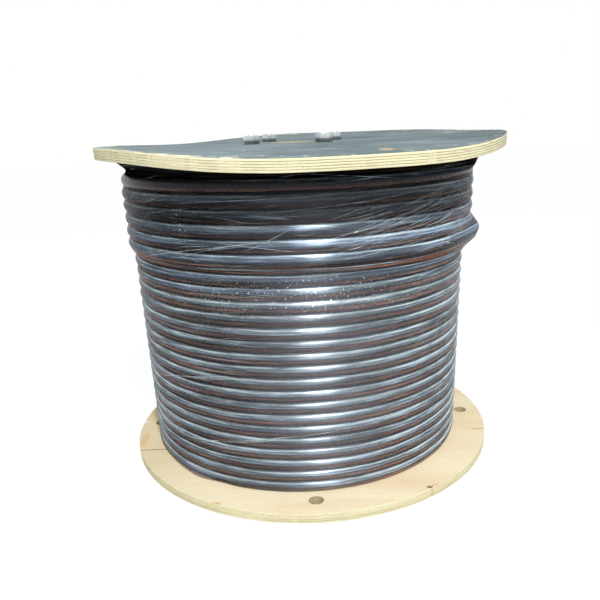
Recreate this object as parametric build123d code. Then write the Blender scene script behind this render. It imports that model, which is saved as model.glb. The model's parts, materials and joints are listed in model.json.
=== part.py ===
from build123d import *
import math
import os

# Reel of coaxial cable, standing on its bottom flange. Millimetres, +Z up along the reel's axis,
# origin at the middle of the face that it stands on, front of the reel towards -Y.

# Flanges: two plywood discs
flange_diameter = 355.6
flange_thickness = 8.8
traverse = 265.1
arbor_diameter = 50.8

# The discs are not cut true: the hub, and all that is wound on it, sits to the left and back of their middle
hub_shift_left = 5.2
hub_shift_back = 4.8

# Warp of the top flange: how far its rim leaves the flat at the sides, the right, the back and the corners
warp_side_rise = 3.3
warp_right_rise = 1.0
warp_back_rise = 6.0
warp_corner_rise = 21.4

# Tie holes near the rims
tie_hole_diameter = 12.7
tie_hole_inset = 19.1
tie_hole_count = 4
bottom_tie_turn = 0.4
top_tie_turn = 21.8

# Barrel: a tube that stands in a groove in each flange
barrel_diameter = 127.0
barrel_wall = 6.35
barrel_seat_depth = 2.5

# Tie bolts inside the barrel, heads sunk in the bottom flange, nuts on top
bolt_diameter = 7.9
bolt_inset = 12.2
bolt_count = 4
bolt_turn = -56.0
bolt_head_diameter = 17.0
bolt_head_height = 3.2
bolt_head_sink = 0.6
bolt_end_length = 0.6
nut_across_flats = 12.7
nut_height = 6.7

# Wound cable: full layers up to the wound radius, then one more layer at the top of the reel
cable_diameter = 10.3
wound_radius = 152.2
extra_rise = 4.8
extra_turn_count = 6
layer_rise_share = 0.87
shoulder_share = 0.36
shown_layer_count = 2

# Grooves between the turns, cut after every few turns
turns_per_groove = 3
groove_depth = 3.6
groove_width = 7.4

# Stretch film round the winding
film_thickness = 0.5

# Fits
radial_clearance = 0.3
bolt_clearance = 0.25
seat_gap = 0.1
nut_gap = 0.2
cut_overrun = 1.0

# Levels and radii that follow from the sizes above
flange_radius = flange_diameter / 2
arbor_radius = arbor_diameter / 2
barrel_radius = barrel_diameter / 2
barrel_bore_radius = barrel_radius - barrel_wall
bolt_circle_radius = barrel_bore_radius - bolt_inset
tie_circle_radius = flange_radius - tie_hole_inset
inner_bottom = flange_thickness
inner_top = inner_bottom + traverse
hub_top = inner_top + flange_thickness
warp_room = warp_side_rise + warp_right_rise + warp_back_rise
wound_height = traverse - warp_back_rise
turn_count = int(wound_height / cable_diameter)
turn_pitch = wound_height / turn_count
full_turn_count = turn_count - extra_turn_count
layer_rise = cable_diameter * layer_rise_share
shoulder = cable_diameter * shoulder_share
extra_radius = wound_radius + extra_rise
step_height = inner_bottom + full_turn_count * turn_pitch
wound_top = inner_bottom + wound_height
nut_seat = hub_top + nut_gap
head_pocket_depth = bolt_head_height + bolt_head_sink
hub_place = Pos(-hub_shift_left, hub_shift_back, 0)

# A Bezier patch of degree 4: the shares of its control points that give a line, a cube and a fourth power
line_shares = (-1, -0.5, 0, 0.5, 1)
cube_shares = (-1, 0.5, 0, -0.5, 1)
fourth_shares = (1, -1, 1, -1, 1)


def post(radius, bottom, top):
    """An upright cylinder between two heights on the Z axis."""
    return Pos(0, 0, bottom) * extrude(Circle(radius), amount=top - bottom)


def ring_places(circle_radius, count, turn):
    """Places on a circle about the Z axis; the turn is counted from the front."""
    return PolarLocations(circle_radius, count, start_angle=turn - 90)


def cut_posts(body, places, radius, bottom, top):
    """The body with one upright round hole at each place."""
    for place in places:
        body = body - place * post(radius, bottom, top)
    return body


def flange_holes(disc, bottom, top, tie_turn):
    """The arbor hole, the bolt holes and the tie holes through one flange."""
    low = bottom - cut_overrun
    high = top + cut_overrun
    disc = disc - hub_place * post(arbor_radius, low, high)
    disc = cut_posts(disc, bolt_places(), bolt_diameter / 2 + bolt_clearance, low, high)
    ties = ring_places(tie_circle_radius, tie_hole_count, tie_turn)
    return cut_posts(disc, ties, tie_hole_diameter / 2, low, high)


def bolt_places():
    """The four bolts' places on their circle about the hub."""
    return [hub_place * place for place in ring_places(bolt_circle_radius, bolt_count, bolt_turn)]


def barrel_groove(bottom, top):
    """The ring cut from a flange's inner face where the barrel stands."""
    outside = post(barrel_radius + radial_clearance, bottom, top)
    return hub_place * (outside - post(barrel_bore_radius - radial_clearance, bottom, top))


def make_bottom_flange():
    """Flat disc with sunk pockets for the bolt heads in its under face."""
    disc = flange_holes(post(flange_radius, 0, inner_bottom), 0, inner_bottom, bottom_tie_turn)
    pocket_radius = bolt_head_diameter / 2 + radial_clearance
    disc = cut_posts(disc, bolt_places(), pocket_radius, -cut_overrun, head_pocket_depth)
    return disc - barrel_groove(inner_bottom - barrel_seat_depth, inner_bottom + cut_overrun)


def warped_sheet(height):
    """A square sheet that is flat at its middle and leaves the flat towards its sides and corners."""
    half = flange_radius + cut_overrun
    net = []
    for across in range(len(line_shares)):
        row = []
        for along in range(len(line_shares)):
            rise = warp_side_rise * fourth_shares[across] + warp_right_rise * cube_shares[across]
            rise = rise + warp_back_rise * cube_shares[along]
            rise = rise + warp_corner_rise * cube_shares[across] * cube_shares[along]
            row.append(Vector(half * line_shares[across], half * line_shares[along], height + rise))
        net.append(row)
    return Face.make_bezier_surface(net)


def make_top_flange():
    """Warped disc, flat round its hub."""
    slab = extrude(warped_sheet(inner_top), amount=flange_thickness, dir=(0, 0, 1))
    low = inner_top - warp_room
    high = hub_top + warp_room
    disc = flange_holes(slab & post(flange_radius, low, high), low, high, top_tie_turn)
    return disc - barrel_groove(low, inner_top + barrel_seat_depth)


def make_barrel():
    """Plain tube from groove floor to groove floor."""
    low = inner_bottom - barrel_seat_depth
    high = inner_top + barrel_seat_depth
    return hub_place * (post(barrel_radius, low, high) - post(barrel_bore_radius, low, high))


def turned(points):
    """A closed outline of radius and height turned about the hub's axis."""
    outline = Plane.XZ * Polyline(*points, close=True)
    return hub_place * revolve(make_face(outline), Axis.Z)


def grooved_side(radius, bottom, count):
    """Outline of a layer's side from its lowest turn up, with a groove after every few turns."""
    points = []
    for turn in range(turns_per_groove, count, turns_per_groove):
        height = bottom + turn * turn_pitch
        points.append((radius, height - groove_width / 2))
        points.append((radius - groove_depth, height))
        points.append((radius, height + groove_width / 2))
    return points


def make_winding():
    """The cable as one turned body on the barrel; the outer layers' turns show on its side and top end."""
    bore = barrel_radius + radial_clearance
    points = [(bore, inner_bottom), (wound_radius, inner_bottom)]
    points += grooved_side(wound_radius, inner_bottom, full_turn_count)
    points += [(wound_radius, step_height), (extra_radius, step_height + shoulder)]
    points += grooved_side(extra_radius, step_height, extra_turn_count)
    for layer in range(shown_layer_count):
        outside = extra_radius - layer * layer_rise
        points.append((outside, wound_top - shoulder))
        points.append((outside - layer_rise / 2, wound_top))
    points.append((bore, wound_top))
    return turned(points)


def make_film():
    """Thin wrap on the cable, which steps out over the extra layer."""
    low_radius = wound_radius + radial_clearance
    high_radius = extra_radius + radial_clearance
    inside = [
        (low_radius, inner_bottom + seat_gap),
        (low_radius, step_height - turn_pitch),
        (high_radius, step_height + shoulder),
        (high_radius, wound_top),
    ]
    outside = [(radius + film_thickness, height) for radius, height in inside]
    return turned(inside + outside[::-1])


def make_bolt():
    """One tie bolt on the Z axis: flat round head below, shank up through the nut."""
    head = post(bolt_head_diameter / 2, bolt_head_sink, head_pocket_depth)
    shank = post(bolt_diameter / 2, head_pocket_depth, nut_seat + nut_height + bolt_end_length)
    return head + shank


def make_nut():
    """One hexagon nut on the Z axis, at the height where it rests on the top flange."""
    corner_radius = nut_across_flats / math.sqrt(3)
    nut = extrude(RegularPolygon(corner_radius, 6), amount=nut_height)
    nut = nut - post(bolt_diameter / 2 + seat_gap, -cut_overrun, nut_height + cut_overrun)
    return Pos(0, 0, nut_seat) * nut


def main():
    """Builds every piece and writes each to its own file."""
    pieces = {
        "bottom_flange": make_bottom_flange(),
        "top_flange": make_top_flange(),
        "barrel": make_barrel(),
        "cable_winding": make_winding(),
        "stretch_film": make_film(),
    }
    bolt = make_bolt()
    nut = make_nut()
    for number, place in enumerate(bolt_places(), start=1):
        pieces[f"tie_bolt_{number}"] = place * bolt
        pieces[f"tie_nut_{number}"] = place * nut
    os.makedirs("parts", exist_ok=True)
    for name, piece in pieces.items():
        export_step(piece, f"parts/{name}.step")


main()
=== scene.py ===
import json
import logging
import math
from dataclasses import dataclass
from enum import Enum
from typing import Callable, Sequence, Union

import bpy
import numpy as np
from mathutils import Matrix, Vector


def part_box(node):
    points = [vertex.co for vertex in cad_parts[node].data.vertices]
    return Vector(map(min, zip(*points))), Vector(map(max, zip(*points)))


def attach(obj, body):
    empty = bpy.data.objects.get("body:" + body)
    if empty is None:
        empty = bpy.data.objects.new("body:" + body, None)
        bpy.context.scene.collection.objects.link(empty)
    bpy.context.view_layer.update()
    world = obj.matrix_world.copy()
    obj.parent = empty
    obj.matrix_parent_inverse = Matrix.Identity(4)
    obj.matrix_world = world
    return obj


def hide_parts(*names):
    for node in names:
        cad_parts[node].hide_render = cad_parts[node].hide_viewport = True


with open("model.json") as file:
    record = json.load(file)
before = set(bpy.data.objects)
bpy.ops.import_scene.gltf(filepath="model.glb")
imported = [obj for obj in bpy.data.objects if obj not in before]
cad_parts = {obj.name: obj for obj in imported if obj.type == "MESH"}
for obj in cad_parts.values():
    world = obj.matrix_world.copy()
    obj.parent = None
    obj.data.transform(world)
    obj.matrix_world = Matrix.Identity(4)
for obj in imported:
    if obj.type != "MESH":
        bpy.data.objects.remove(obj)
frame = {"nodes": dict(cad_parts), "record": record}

MM = 0.001
CLOSE = 0.001 * MM
SEAM = 0.01 * MM
FOLD_SEAM = 0.0001 * MM
BODY = "root"
LOG = logging.getLogger("reel")
Colour = tuple[float, float, float]
Array = np.ndarray
Piece = bpy.types.Object
Socket = bpy.types.NodeSocket
Value = Union[float, Socket]


class Slot(Enum):
    """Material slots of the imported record."""

    PLYWOOD = "plywood"
    PAINTED = "painted_plywood"
    JACKET = "cable_jacket"
    FILM = "film"
    ZINC = "zinc"


class Operation(Enum):
    """Arithmetic that the finishes use."""

    ADD = "ADD"
    SUBTRACT = "SUBTRACT"
    MULTIPLY = "MULTIPLY"
    GREATER = "GREATER_THAN"
    LESS = "LESS_THAN"
    ABSOLUTE = "ABSOLUTE"
    MODULO = "FLOORED_MODULO"
    FLOOR = "FLOOR"
    MINIMUM = "MINIMUM"
    MAXIMUM = "MAXIMUM"


class Carving(Enum):
    """What a tool does to a piece."""

    CUT = "DIFFERENCE"
    KEEP = "INTERSECT"


# Mesh helpers


def deselect() -> None:
    """Clears the selection, so that an operator acts on one object alone."""
    if bpy.context.mode != "OBJECT":
        bpy.ops.object.mode_set(mode="OBJECT")
    bpy.ops.object.select_all(action="DESELECT")


def pick(piece: Piece) -> Piece:
    """Makes one object the only selected and the active one.

    Args:
        piece: The object to pick.

    Returns:
        The same object.
    """
    deselect()
    piece.select_set(True)
    bpy.context.view_layer.objects.active = piece
    return piece


def newest(name: str) -> Piece:
    """Names the primitive that was just added and puts its place into its mesh.

    Args:
        name: The piece's name.

    Returns:
        The primitive's object.
    """
    piece = bpy.context.view_layer.objects.active
    piece.name = name
    piece.data.name = name
    pick(piece)
    bpy.ops.object.transform_apply(location=True, rotation=True, scale=True)
    return piece


def points_of(piece: Piece) -> Array:
    """Every vertex of a piece, one row each, in metres."""
    flat = np.zeros(len(piece.data.vertices) * 3)
    piece.data.vertices.foreach_get("co", flat)
    return flat.reshape(-1, 3)


def move_points(piece: Piece, points: Array) -> None:
    """Sets every vertex of a piece."""
    piece.data.vertices.foreach_set("co", points.astype(np.float32).ravel())
    piece.data.update()


def remember(piece: Piece, name: str, values: Array) -> None:
    """Keeps one number for each vertex, for the finishes to read."""
    layer = piece.data.attributes.new(name, "FLOAT", "POINT")
    layer.data.foreach_set("value", values.astype(np.float32))


def apply_modifiers(piece: Piece) -> None:
    """Applies a piece's modifiers in order."""
    pick(piece)
    for name in [modifier.name for modifier in piece.modifiers]:
        bpy.ops.object.modifier_apply(modifier=name)


def edit_all(piece: Piece) -> None:
    """Enters edit mode with everything selected."""
    pick(piece)
    bpy.ops.object.mode_set(mode="EDIT")
    bpy.ops.mesh.select_all(action="SELECT")


def merge_and_face_out(piece: Piece, distance: float = CLOSE) -> None:
    """Merges doubled vertices and turns every face outwards."""
    edit_all(piece)
    bpy.ops.mesh.remove_doubles(threshold=distance)
    bpy.ops.mesh.normals_make_consistent(inside=False)
    bpy.ops.object.mode_set(mode="OBJECT")


def smooth_by_angle(piece: Piece, degrees: float) -> None:
    """Shades a piece smooth where its faces meet at less than an angle."""
    pick(piece)
    bpy.ops.object.shade_smooth_by_angle(angle=math.radians(degrees))


def turned(name: str, profile: Sequence[tuple[float, float]], steps: int) -> Piece:
    """Spins a profile of radius and height about the reel's axis into a closed piece.

    Args:
        name: The piece's name.
        profile: Closed ring of points, or an open line that starts and ends on the axis.
        steps: How many faces go round.

    Returns:
        The new piece.
    """
    mesh = bpy.data.meshes.new(name)
    count = len(profile)
    on_axis = profile[0][0] == 0.0
    edges = [(k, (k + 1) % count) for k in range(count - 1 if on_axis else count)]
    mesh.from_pydata([(radius, 0.0, height) for radius, height in profile], edges, [])
    piece = bpy.data.objects.new(name, mesh)
    bpy.context.scene.collection.objects.link(piece)
    edit_all(piece)
    bpy.ops.mesh.spin(steps=steps, angle=math.tau, center=(0, 0, 0), axis=(0, 0, 1))
    bpy.ops.object.mode_set(mode="OBJECT")
    merge_and_face_out(piece)
    return piece


def post(name: str, place: Vector, radius: float, low: float, high: float, sides: int) -> Piece:
    """An upright prism or cylinder.

    Args:
        name: The piece's name.
        place: Where its axis stands.
        radius: The radius to its corners.
        low: The height of its lower end.
        high: The height of its upper end.
        sides: How many faces go round.

    Returns:
        The new piece.
    """
    deselect()
    bpy.ops.mesh.primitive_cylinder_add(
        vertices=sides, radius=radius, depth=high - low, location=(place.x, place.y, (low + high) / 2)
    )
    return newest(name)


def carve(piece: Piece, tool: Piece, carving: Carving) -> None:
    """Cuts a tool from a piece, or keeps what both share, and removes the tool."""
    modifier = piece.modifiers.new("shape", "BOOLEAN")
    modifier.operation = carving.value
    modifier.solver = "EXACT"
    modifier.object = tool
    apply_modifiers(piece)
    bpy.data.objects.remove(tool)


def around(azimuth: Array, radius: Array, height: Array) -> Array:
    """Points round the axis; the azimuth is counted from the front towards the right, in radians."""
    return np.stack([radius * np.sin(azimuth), -radius * np.cos(azimuth), height], axis=-1)


def ease(share: Array) -> Array:
    """A smooth step from 0 to 1."""
    share = np.clip(share, 0.0, 1.0)
    return share * share * (3.0 - 2.0 * share)


def hump(value: Array, middle: float, width: float) -> Array:
    """A bell of height 1 round a middle."""
    return np.exp(-(((value - middle) / width) ** 2))


def wrapped(degrees: Array) -> Array:
    """An azimuth in degrees, brought to between -180 and 180."""
    return (degrees + 180.0) % 360.0 - 180.0


def put_on(piece: Piece, slot: Slot, material: bpy.types.Material) -> Piece:
    """Gives a piece its finish, and makes it ride on the reel.

    Args:
        piece: The finished piece.
        slot: The record's slot that the finish belongs to; not used.
        material: The finish.

    Returns:
        The same piece.
    """
    piece.data.materials.clear()
    piece.data.materials.append(material)
    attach(piece, BODY)
    LOG.info("%s: %d faces", piece.name, len(piece.data.polygons))
    return piece


# Finishes


class Shader:
    """A small hand for wiring one material: each method adds a node and gives back its output."""

    def __init__(self, name: str) -> None:
        """Starts a material with a lone Principled shader."""
        self.material = bpy.data.materials.new(name)
        self.material.use_nodes = True
        self.tree = self.material.node_tree
        self.surface = self.tree.nodes["Principled BSDF"]

    def node(self, kind: str, **settings: object) -> bpy.types.Node:
        """Adds a node and sets its properties."""
        made = self.tree.nodes.new(kind)
        for name, value in settings.items():
            setattr(made, name, value)
        return made

    def feed(self, socket: Socket, value: object) -> None:
        """Links an output to a socket, or sets the socket to a plain value."""
        if isinstance(value, Socket):
            self.tree.links.new(value, socket)
        elif isinstance(value, tuple) and len(value) == 3 and socket.type == "RGBA":
            socket.default_value = (*value, 1.0)
        else:
            socket.default_value = value

    def set(self, **inputs: object) -> None:
        """Feeds the Principled shader's sockets; an underscore stands for a space."""
        for name, value in inputs.items():
            self.feed(self.surface.inputs[name.replace("_", " ")], value)

    def math(self, operation: Operation, first: Value, second: Value = 0.0) -> Socket:
        """One sum on two numbers."""
        made = self.node("ShaderNodeMath", operation=operation.value)
        self.feed(made.inputs[0], first)
        self.feed(made.inputs[1], second)
        return made.outputs[0]

    def add(self, first: Value, second: Value) -> Socket:
        """First plus second."""
        return self.math(Operation.ADD, first, second)

    def times(self, first: Value, second: Value) -> Socket:
        """First times second."""
        return self.math(Operation.MULTIPLY, first, second)

    def band(self, value: Value, low: float, high: float) -> Socket:
        """A number mapped smoothly from 0 at low to 1 at high."""
        made = self.node("ShaderNodeMapRange", interpolation_type="SMOOTHSTEP")
        self.feed(made.inputs["Value"], value)
        made.inputs["From Min"].default_value = low
        made.inputs["From Max"].default_value = high
        return made.outputs["Result"]

    def rest(self, value: Value) -> Socket:
        """One less a number."""
        return self.math(Operation.SUBTRACT, 1.0, value)

    def line(self, value: Value, slope: float, start: float) -> Socket:
        """A number times a slope, plus a start."""
        return self.add(self.times(value, slope), start)

    def place(self, scale: Sequence[float] = (1, 1, 1)) -> Socket:
        """Object coordinates, stretched."""
        made = self.node("ShaderNodeMapping")
        self.feed(made.inputs["Vector"], self.node("ShaderNodeTexCoord").outputs["Object"])
        made.inputs["Scale"].default_value = tuple(scale)
        return made.outputs["Vector"]

    def noise(self, vector: Socket, detail: float = 3.0, rough: float = 0.55) -> Socket:
        """Soft noise between 0 and 1."""
        made = self.node("ShaderNodeTexNoise")
        self.feed(made.inputs["Vector"], vector)
        made.inputs["Scale"].default_value = 1.0
        made.inputs["Detail"].default_value = detail
        made.inputs["Roughness"].default_value = rough
        return made.outputs["Fac"]

    def grain(self, scale: Sequence[float], detail: float = 3.0, rough: float = 0.55) -> Socket:
        """Soft noise between 0 and 1, with so many cells to a metre along each axis."""
        return self.noise(self.place(scale), detail, rough)

    def split(self, vector: Socket) -> tuple[Socket, ...]:
        """The three numbers of a vector."""
        made = self.node("ShaderNodeSeparateXYZ")
        self.feed(made.inputs[0], vector)
        return tuple(made.outputs)

    def normal(self) -> tuple[Socket, ...]:
        """The three numbers of the surface's direction."""
        return self.split(self.node("ShaderNodeNewGeometry").outputs["Normal"])

    def sheet(self, name: str) -> tuple[Socket, ...]:
        """The two numbers of a texture layer."""
        return self.split(self.node("ShaderNodeUVMap", uv_map=name).outputs["UV"])[:2]

    def spread(self, across: Value, along: Value) -> Socket:
        """A vector from two numbers."""
        made = self.node("ShaderNodeCombineXYZ")
        self.feed(made.inputs[0], across)
        self.feed(made.inputs[1], along)
        return made.outputs[0]

    def between(self, share: Value, first: Value, second: Value) -> Socket:
        """A number between two numbers."""
        made = self.node("ShaderNodeMix", data_type="FLOAT")
        self.feed(made.inputs[0], share)
        self.feed(made.inputs[2], first)
        self.feed(made.inputs[3], second)
        return made.outputs[0]

    def attribute(self, name: str) -> Socket:
        """A number kept on the piece's vertices."""
        return self.node("ShaderNodeAttribute", attribute_name=name).outputs["Fac"]

    def mix(self, share: Value, first: object, second: object) -> Socket:
        """A colour between two colours."""
        made = self.node("ShaderNodeMix", data_type="RGBA")
        self.feed(made.inputs[0], share)
        self.feed(made.inputs[6], first)
        self.feed(made.inputs[7], second)
        return made.outputs[2]

    def ramp(self, value: Value, stops: Sequence[tuple[float, Colour]]) -> Socket:
        """A colour read from a row of colour stops."""
        made = self.node("ShaderNodeValToRGB")
        elements = made.color_ramp.elements
        while len(elements) < len(stops):
            elements.new(1.0)
        for element, (position, colour) in zip(elements, stops):
            element.position = position
            element.color = (*colour, 1.0)
        self.feed(made.inputs["Fac"], value)
        return made.outputs["Color"]

    def bump(self, height: Value, strength: float, distance: float) -> None:
        """Relief from a height, given to the Principled shader."""
        made = self.node("ShaderNodeBump")
        made.inputs["Strength"].default_value = strength
        made.inputs["Distance"].default_value = distance
        self.feed(made.inputs["Height"], height)
        self.feed(self.surface.inputs["Normal"], made.outputs["Normal"])


@dataclass(frozen=True)
class PlywoodFinish:
    """Raw five-ply wood with sawn edges, and slate paint on its upper face where it is painted."""

    name: str
    painted: bool
    marks: tuple[tuple[tuple[float, float], tuple[float, float], Colour, float], ...] = ()
    plies: int = 5
    joint: tuple[float, float] = (0.10, 0.27)
    joint_fade: float = 0.0
    veneer_pale: Colour = (0.86, 0.77, 0.55)
    veneer_warm: Colour = (0.78, 0.63, 0.40)
    veneer_dark: Colour = (0.55, 0.38, 0.20)
    edge_pale: Colour = (0.80, 0.77, 0.51)
    edge_warm: Colour = (0.66, 0.60, 0.36)
    glue: Colour = (0.21, 0.13, 0.065)
    slate: Colour = (0.205, 0.255, 0.27)
    slate_dark: Colour = (0.11, 0.145, 0.155)
    slate_worn: Colour = (0.37, 0.42, 0.42)
    bare: Colour = (0.80, 0.76, 0.64)
    # Painted shade in the holes.
    hole: Colour = (0.55, 0.45, 0.28)
    tan: Colour = (0.60, 0.50, 0.31)
    stain: Colour = (0.72, 0.40, 0.12)
    crack: Colour = (0.16, 0.10, 0.05)
    shaded_side: tuple[float, float] = (-170.0 * MM, -70.0 * MM)
    worn_rim: tuple[float, float] = (155.0 * MM, 177.5 * MM)
    worn_side: tuple[float, float] = (-60.0 * MM, 20.0 * MM)
    relief: float = 0.3 * MM

    def edge(self, shader: Shader) -> tuple[Socket, Socket]:
        """The sawn edge: pale plies, dark glue lines and dotted end grain.

        Args:
            shader: The material that is wired.

        Returns:
            The edge's colour, and its height for the relief.
        """
        level = shader.times(shader.attribute("ply"), float(self.plies))
        within = shader.math(Operation.MODULO, level, 1.0)
        to_joint = shader.math(Operation.MINIMUM, within, shader.rest(within))
        waver = shader.times(shader.grain((60, 60, 200)), 0.10)
        joint = shader.rest(shader.band(shader.add(to_joint, waver), *self.joint))
        below_top = shader.math(Operation.LESS, level, self.plies - 0.4)
        inside = shader.times(shader.band(level, 0.3, 0.6), below_top)
        odd = shader.math(Operation.MODULO, shader.math(Operation.FLOOR, level), 2.0)
        across = shader.normal()
        side, front = (shader.math(Operation.ABSOLUTE, across[k]) for k in (0, 1))
        end_grain = shader.add(shader.times(odd, front), shader.times(shader.rest(odd), side))
        pores = shader.grain((1500, 1500, 825), 1.0)
        dots = shader.times(shader.band(pores, 0.56, 0.66), shader.band(end_grain, 0.35, 0.9))
        streak = shader.grain((90, 90, 1400), 4.0)
        colour = shader.mix(shader.band(streak, 0.3, 0.75), self.edge_pale, self.edge_warm)
        colour = shader.mix(shader.times(dots, 0.3), colour, self.glue)
        broken = shader.band(shader.grain((22, 22, 300)), 0.30, 0.58)
        depth = shader.line(broken, 0.55, 0.3)
        faded = shader.line(shader.band(level, 1.4, 3.2), -self.joint_fade, 1.0)
        seam = shader.times(shader.times(joint, inside), shader.times(depth, faded))
        # Painted shade: the walls of the holes are made darker and warmer.
        colour = shader.mix(shader.times(shader.attribute("hole"), 0.75), colour, self.hole)
        colour = shader.mix(seam, colour, self.glue)
        height = shader.math(Operation.SUBTRACT, streak, shader.add(dots, joint))
        return colour, height

    def veneer(self, shader: Shader) -> tuple[Socket, Socket]:
        """The raw face: fine grain along X, warm clouds, and a few darker flecks.

        Args:
            shader: The material that is wired.

        Returns:
            The face's colour, and its height for the relief.
        """
        cloud = shader.grain((5, 16, 1))
        grain = shader.grain((26, 900, 1), 4.0)
        fleck = shader.band(shader.grain((90, 260, 1), 2.0), 0.70, 0.76)
        colour = shader.mix(shader.band(cloud, 0.36, 0.68), self.veneer_pale, self.veneer_warm)
        colour = shader.mix(shader.times(shader.band(grain, 0.48, 0.75), 0.28), colour, self.veneer_dark)
        colour = shader.mix(shader.times(fleck, 0.45), colour, self.veneer_dark)
        speckle = shader.band(shader.grain((420, 420, 1), 2.0), 0.45, 0.75)
        colour = shader.mix(shader.times(speckle, 0.22), colour, self.tan)
        side = shader.split(shader.place())[0]
        shade = shader.rest(shader.band(side, *self.shaded_side))
        colour = shader.mix(shader.times(shade, 0.45), colour, self.tan)
        for place, size, kind, strength in self.marks:
            colour = shader.mix(shader.times(self.mark(shader, place, size), strength), colour, kind)
        return colour, grain

    def mark(self, shader: Shader, place: tuple[float, float], size: tuple[float, float]) -> Socket:
        """A ragged spot on the face.

        Args:
            shader: The material that is wired.
            place: Its middle, in millimetres.
            size: Half its width along X and along Y, in millimetres.

        Returns:
            One inside the spot and nothing outside.
        """
        across, along, _ = shader.split(shader.place())
        across = shader.times(shader.add(across, -place[0] * MM), 1.0 / (size[0] * MM))
        along = shader.times(shader.add(along, -place[1] * MM), 1.0 / (size[1] * MM))
        reach = shader.add(shader.times(across, across), shader.times(along, along))
        ragged = shader.times(shader.add(shader.grain((300, 500, 1)), -0.5), 2.4)
        return shader.rest(shader.band(shader.add(reach, ragged), 0.5, 1.1))

    def paint(self, shader: Shader) -> tuple[Socket, Socket]:
        """Worn slate paint: dark patches, pale scuffs along X and nicks down to the wood near the rim.

        Args:
            shader: The material that is wired.

        Returns:
            The paint's colour, and its height for the relief.
        """
        cloud = shader.grain((9, 16, 1), 4.0)
        scuff = shader.grain((24, 150, 1), 5.0, 0.65)
        place = shader.split(shader.place())
        reach = shader.node("ShaderNodeVectorMath", operation="LENGTH")
        shader.feed(reach.inputs[0], shader.spread(*place[:2]))
        rim = shader.band(reach.outputs["Value"], *self.worn_rim)
        nick = shader.grain((70, 190, 1), rough=0.6)
        left = shader.rest(shader.band(place[0], *self.worn_side))
        worn = shader.times(rim, shader.line(left, 0.14, 0.12))
        bared = shader.band(shader.add(nick, worn), 0.735, 0.76)
        colour = shader.mix(shader.band(cloud, 0.40, 0.66), self.slate, self.slate_dark)
        grain = shader.grain((30, 520, 1), 4.0)
        colour = shader.mix(shader.times(shader.band(scuff, 0.5, 0.72), 0.75), colour, self.slate_worn)
        colour = shader.mix(shader.times(shader.band(grain, 0.48, 0.66), 0.75), colour, self.slate_dark)
        colour = shader.mix(bared, colour, self.bare)
        return colour, shader.math(Operation.SUBTRACT, scuff, bared)

    def build(self) -> bpy.types.Material:
        """Wires the edge and the face together by the surface's direction."""
        shader = Shader(self.name)
        upright = shader.normal()[2]
        flat = shader.band(shader.math(Operation.ABSOLUTE, upright), 0.55, 0.75)
        colour, height = self.edge(shader)
        face_colour, face_height = self.veneer(shader)
        if self.painted:
            coat_colour, coat_height = self.paint(shader)
            above = shader.math(Operation.GREATER, upright, 0.5)
            face_colour = shader.mix(above, face_colour, coat_colour)
            face_height = shader.add(face_height, shader.times(coat_height, above))
        colour = shader.mix(flat, colour, face_colour)
        shader.set(Base_Color=colour, Roughness=0.8, Specular_IOR_Level=0.15)
        shader.bump(shader.add(height, face_height), 0.25, self.relief)
        return shader.material


@dataclass(frozen=True)
class JacketFinish:
    """Black extruded jacket, with a painted reddish reflection of the warm ground on its under side."""

    name: str = "cable_jacket"
    black: Colour = (0.012, 0.0125, 0.015)
    under_reflection: Colour = (0.115, 0.055, 0.042)
    relief: float = 0.1 * MM

    def build(self) -> bpy.types.Material:
        """Wires the jacket."""
        shader = Shader(self.name)
        # Painted reflection: faces that look down take on the warm ground's colour, in patches.
        under = shader.band(shader.times(shader.normal()[2], -1.0), 0.05, 0.75)
        patch = shader.band(shader.grain((30, 30, 260)), 0.3, 0.7)
        reflected_share = shader.times(under, shader.line(patch, 0.7, 0.3))
        colour = shader.mix(reflected_share, self.black, self.under_reflection)
        scuff = shader.grain((400, 400, 900))
        shader.set(Base_Color=colour, Roughness=shader.line(scuff, 0.16, 0.2), IOR=1.25)
        shader.bump(scuff, 0.12, self.relief)
        return shader.material


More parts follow.
